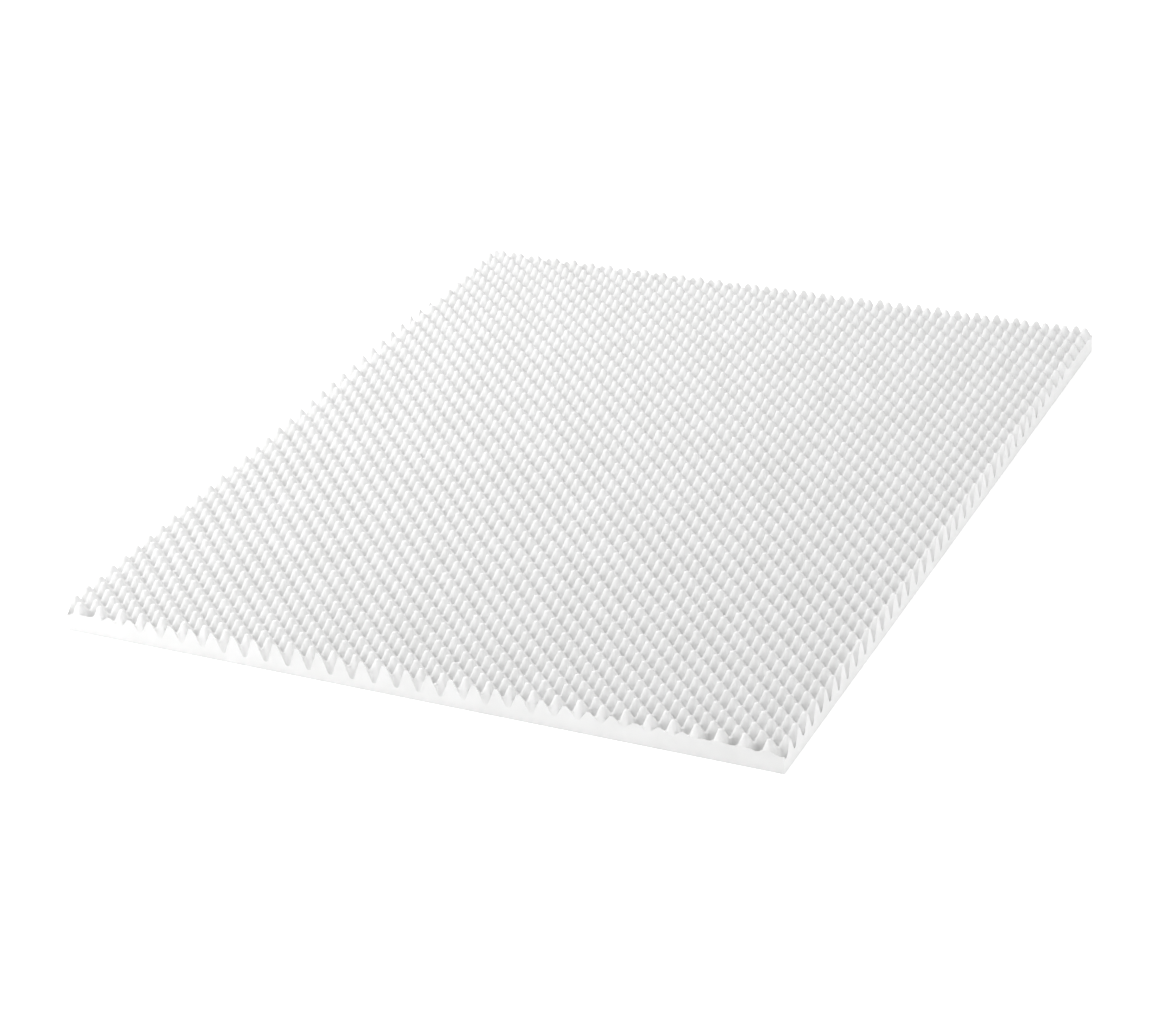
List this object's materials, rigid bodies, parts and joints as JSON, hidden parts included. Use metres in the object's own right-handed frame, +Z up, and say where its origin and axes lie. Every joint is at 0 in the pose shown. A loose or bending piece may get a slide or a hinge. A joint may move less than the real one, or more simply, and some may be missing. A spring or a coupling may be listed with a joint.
{
  "type": "mattress topper",
  "caption": "Flat mattress topper of convoluted foam: smooth underside, straight cut sides, egg-crate relief of staggered crests and hollows on top.",
  "frame": {"origin": "middle of the underside, on the surface that the topper lies on", "axes": "+Z up out of the relief, +Y along the two-metre length, +X across the bed"},
  "size_m": [1.6, 2, 0.065],
  "materials": {
    "foam": "matt white open-cell foam, bare, with fine pores"
  },
  "bodies": {
    "root": {"topper": "foam"}
  },
  "joints": []
}
